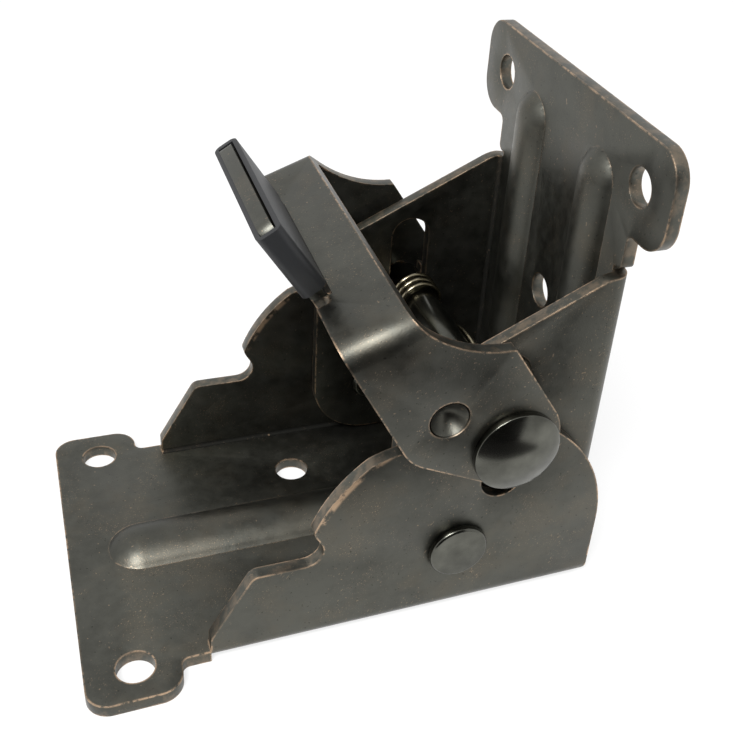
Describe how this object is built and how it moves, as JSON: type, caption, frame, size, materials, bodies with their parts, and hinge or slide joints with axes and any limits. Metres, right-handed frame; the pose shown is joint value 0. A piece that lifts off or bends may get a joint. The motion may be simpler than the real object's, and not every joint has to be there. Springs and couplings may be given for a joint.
{
  "type": "folding table leg bracket",
  "caption": "Folding bracket that joins a table leg to a table top, with a thumb lever that works a cross pin in its locking slots.",
  "frame": {"origin": "midway between the two ear holes of the base, on the face that lies on the table", "axes": "+X along the base towards the leg plate, +Y across it, +Z away from the table; the leg stands open"},
  "size_m": [0.0789, 0.0584, 0.0773],
  "materials": {
    "dark_steel": "blackened, satin, worn to a copper brown at the edges",
    "pin_steel": "blackened, smooth",
    "spring_steel": "bright drawn wire",
    "grip_plastic": "smooth, half matt"
  },
  "bodies": {
    "base": {"base_bracket": "dark_steel", "pivot_rivet_left": "pin_steel", "pivot_rivet_right": "pin_steel"},
    "leg": {"leg_bracket": "dark_steel"},
    "lock": {"lock_pin": "pin_steel"},
    "lever": {"lock_lever": "dark_steel", "lever_grip": "grip_plastic", "lock_spring": "spring_steel"}
  },
  "joints": [
    {"name": "leg_fold", "type": "hinge", "parent": "base", "child": "leg", "pos_m": [0.0478, 0, 0.0126], "axis": [0, -1, 0], "range_deg": [0, 90]},
    {"name": "lock_pin_lift", "type": "slide", "parent": "leg", "child": "lock", "axis": [0, 0, 1], "range_m": [0, 0.0095]},
    {"name": "lever_tilt", "type": "hinge", "parent": "lock", "child": "lever", "pos_m": [0.0537, 0, 0.0327], "axis": [0, -1, 0], "range_deg": [-60, 0]}
  ],
  "couplings": [
    {"joint": "lock_pin_lift", "follows": "leg_fold", "m_per_rad": 0.006047},
    {"joint": "lever_tilt", "follows": "leg_fold", "ratio": -0.66}
  ]
}
